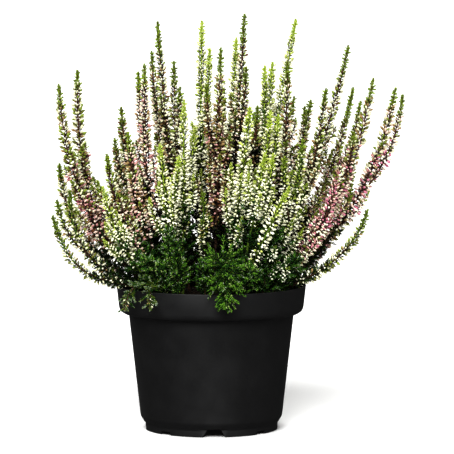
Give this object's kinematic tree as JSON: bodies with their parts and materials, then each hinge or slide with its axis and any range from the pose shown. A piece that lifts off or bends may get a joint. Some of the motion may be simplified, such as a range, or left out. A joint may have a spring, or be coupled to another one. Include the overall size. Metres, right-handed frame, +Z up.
{
  "type": "potted heather",
  "caption": "Bushy heather in bud, with long upright spikes of small cream, pink and lime buds, in a tapered round nursery pot with a deep rim band and a notched foot.",
  "frame": {"origin": "middle of the pot's underside, on the surface it stands on", "axes": "+Z up along the pot, -Y towards the side with the leafy shoot that hangs over the rim, +X to the right seen from there"},
  "size_m": [0.2201, 0.1727, 0.262],
  "materials": {
    "pot": "satin black moulded polypropylene",
    "peat": "moist fibrous peat",
    "white_flowers": "cream-white buds on green stems",
    "pink_flowers": "dusky pink buds on brown stems",
    "lime_flowers": "pale lime buds on light green stems",
    "dusky_flowers": "small pinkish-brown buds on brown stems",
    "leaf": "fresh green needle leaves",
    "deep_leaf": "dark green needle leaves"
  },
  "bodies": {
    "root": {"flowering_stem_01": "dusky_flowers", "flowering_stem_02": "lime_flowers", "flowering_stem_03": "pink_flowers", "flowering_stem_04": "dusky_flowers", "flowering_stem_05": "lime_flowers", "flowering_stem_06": "lime_flowers", "flowering_stem_07": "lime_flowers", "flowering_stem_08": "dusky_flowers", "flowering_stem_09": "dusky_flowers", "flowering_stem_10": "pink_flowers", "flowering_stem_11": "dusky_flowers", "flowering_stem_12": "lime_flowers", "flowering_stem_13": "white_flowers", "flowering_stem_14": "pink_flowers", "flowering_stem_15": "pink_flowers", "flowering_stem_16": "pink_flowers", "flowering_stem_17": "pink_flowers", "flowering_stem_18": "pink_flowers", "flowering_stem_19": "pink_flowers", "flowering_stem_20": "dusky_flowers", "flowering_stem_21": "dusky_flowers", "flowering_stem_22": "dusky_flowers", "flowering_stem_23": "lime_flowers", "flowering_stem_24": "lime_flowers", "flowering_stem_25": "white_flowers", "flowering_stem_26": "white_flowers", "flowering_stem_27": "white_flowers", "flowering_stem_28": "lime_flowers", "flowering_stem_29": "pink_flowers", "flowering_stem_30": "white_flowers", "flowering_stem_31": "dusky_flowers", "flowering_stem_32": "lime_flowers", "flowering_stem_33": "lime_flowers", "flowering_stem_34": "lime_flowers", "flowering_stem_35": "lime_flowers", "flowering_stem_36": "white_flowers", "flowering_stem_37": "pink_flowers", "flowering_stem_38": "white_flowers", "flowering_stem_39": "pink_flowers", "flowering_stem_40": "dusky_flowers", "flowering_stem_41": "white_flowers", "flowering_stem_42": "pink_flowers", "flowering_stem_43": "dusky_flowers", "flowering_stem_44": "pink_flowers", "flowering_stem_45": "lime_flowers", "flowering_stem_46": "white_flowers", "leafy_shoot_01": "leaf", "leafy_shoot_02": "leaf", "leafy_shoot_03": "deep_leaf", "leafy_shoot_04": "leaf", "leafy_shoot_05": "leaf", "leafy_shoot_06": "deep_leaf", "leafy_shoot_07": "deep_leaf", "leafy_shoot_08": "deep_leaf", "leafy_shoot_09": "leaf", "leafy_shoot_10": "deep_leaf", "leafy_shoot_11": "leaf", "trailing_sprig": "deep_leaf", "peat": "peat", "pot": "pot"}
  },
  "joints": []
}
